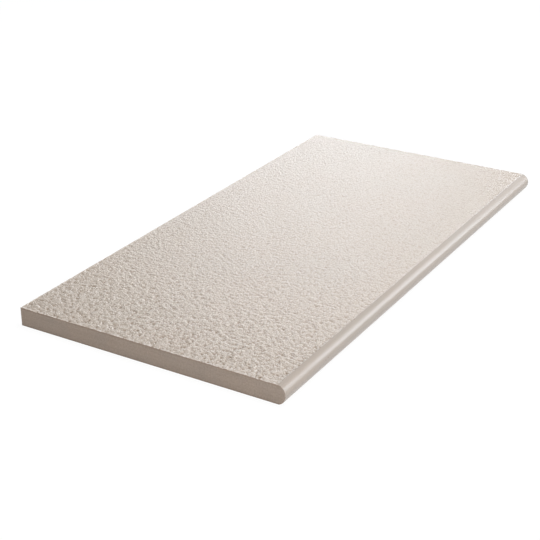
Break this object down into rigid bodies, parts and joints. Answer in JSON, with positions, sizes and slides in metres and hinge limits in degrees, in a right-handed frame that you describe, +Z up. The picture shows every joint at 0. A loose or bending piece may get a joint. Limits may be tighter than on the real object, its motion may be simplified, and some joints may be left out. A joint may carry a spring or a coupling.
{
  "type": "clinker tile",
  "caption": "Thick rectangular clinker step tile with an anti-slip stone-textured tread, one rounded nosing edge and a latticed underside.",
  "frame": {"origin": "centre of the underside's rectangle, on the plane of its ribs", "axes": "+Z up out of the tread, +X across the tile to the rounded nosing, +Y along the nosing"},
  "size_m": [0.3, 0.6, 0.02],
  "materials": {
    "stoneware": "matte"
  },
  "bodies": {
    "root": {"clinker_tile": "stoneware"}
  },
  "joints": []
}
